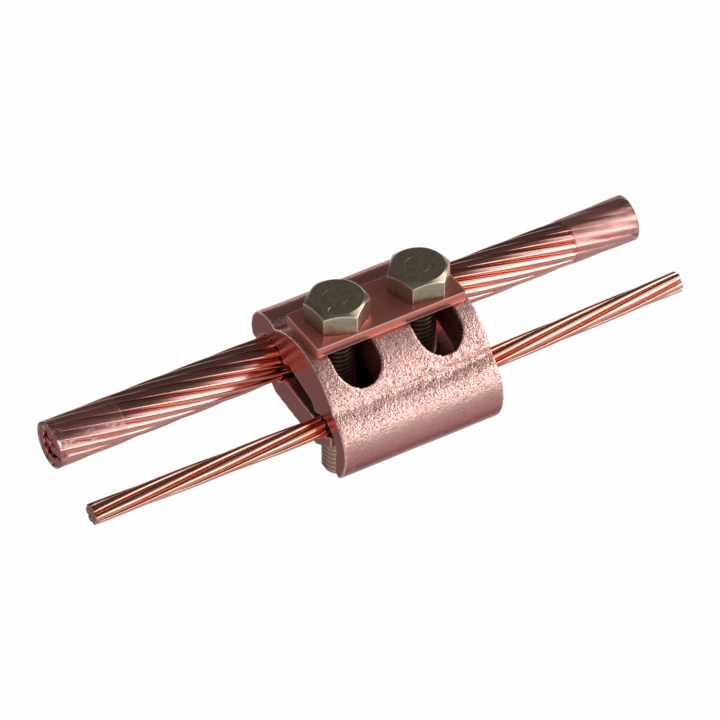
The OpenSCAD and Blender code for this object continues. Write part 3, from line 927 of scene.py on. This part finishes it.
def makeWorld():
    scene.world = bpy.data.worlds.new("studio")
    scene.world.use_nodes = True
    tree = scene.world.node_tree
    shade = Shade(tree)
    light = shade.node("Background", {}, {"Color": studio["white"], "Strength": studio["ambient"]})
    white = shade.node("Background", {}, {"Color": studio["white"], "Strength": 1})
    tree.links.new(whiteTo(shade, light, white, 1).socket, tree.nodes["World Output"].inputs["Surface"])


# Puts a mesh into the scene as part of the studio
def stagePiece(name, points, faces):
    mesh = bpy.data.meshes.new(name)
    mesh.from_pydata(points, [], faces)
    piece = bpy.data.objects.new(name, mesh)
    scene.collection.objects.link(piece)
    return piece


# A level rectangle about a point
def panel(name, centre, wide, high):
    corners = [Vector((x * wide / 2, y * high / 2, 0)) for x, y in ((-1, -1), (1, -1), (1, 1), (-1, 1))]
    return stagePiece(name, [centre + corner for corner in corners], [(0, 1, 2, 3)])


# A hemisphere of angles about the object, open where a window is
def makeTent():
    edges = np.array(tent["windows"])
    azimuth = np.unique(np.append(np.arange(-180, 180, tent["step"]), edges[:, :2]))
    elevation = np.unique(np.append(np.arange(tent["lowest"], 90, tent["step"]), edges[:, 2:]))
    a, e = np.radians(np.meshgrid(azimuth, elevation))
    shape = np.stack([np.sin(a) * np.cos(e), -np.cos(a) * np.cos(e), np.sin(e)], -1)
    here = np.arange(a.size).reshape(a.shape)
    turn = np.roll(here, -1, axis=1)
    faces = np.stack([here[:-1], here[1:], turn[1:], turn[:-1]], -1)
    shut = np.ones(faces.shape[:2], bool)
    for left, right, low, high in tent["windows"]:
        inside = (azimuth >= left) & (azimuth < right)
        shut &= ~(inside & ((elevation >= low) & (elevation < high))[:-1, None])
    points = np.array(studio["middle"]) + tent["radius"] * shape.reshape(-1, 3)
    return stagePiece("tent", points.tolist(), faces[shut].tolist() + [here[-1].tolist()])


def emptyFinish(name):
    finish = bpy.data.materials.new(name)
    finish.use_nodes = True
    finish.node_tree.nodes.remove(finish.node_tree.nodes["Principled BSDF"])
    return finish, Shade(finish.node_tree), finish.node_tree.nodes["Material Output"].inputs["Surface"]


# A self-lit grey that shows in reflections and nowhere else
def onlyInMetal(piece, level):
    finish, shade, surface = emptyFinish(piece.name)
    grey = shade.node("Emission", {}, {"Color": studio["white"], "Strength": level})
    shade.tree.links.new(grey.socket, surface)
    piece.data.materials.append(finish)
    piece.visible_camera = piece.visible_diffuse = piece.visible_shadow = piece.visible_transmission = False


def makeFloor():
    floor = panel("floor", Vector((0, 0, studio["floor"])), studio["floorSize"], studio["floorSize"])
    finish, shade, surface = emptyFinish("paleFloor")
    pale = shade.node("BsdfDiffuse", {}, {"Color": studio["floorColour"]})
    white = shade.node("Emission", {}, {"Color": studio["white"], "Strength": 1})
    shade.tree.links.new(whiteTo(shade, pale, white, studio["floorWhite"]).socket, surface)
    floor.data.materials.append(finish)


def makeSoftBox(name, box):
    away = towards(box["azimuth"], box["elevation"])
    lamp = bpy.data.lights.new(name, "AREA")
    lamp.shape = "RECTANGLE"
    lamp.size, lamp.size_y = box["wide"], box["high"]
    lamp.energy = box["level"] * math.pi * box["wide"] * box["high"]
    holder = bpy.data.objects.new(name, lamp)
    holder.location = studio["middle"] + away * box["distance"] + Vector((0, box["slide"], 0))
    holder.rotation_mode = "QUATERNION"
    holder.rotation_quaternion = (-away).to_track_quat("-Z", "Y")
    scene.collection.objects.link(holder)


makeWorld()
makeFloor()
for name, card in cards.items():
    centre = studio["middle"] + Vector((*card["place"], studio["floor"] + card["lift"]))
    onlyInMetal(panel(name, centre, card["wide"], card["high"]), card["level"])
onlyInMetal(makeTent(), tent["level"])
for name, box in softBoxes.items():
    makeSoftBox(name, box)
print("camera and studio done")
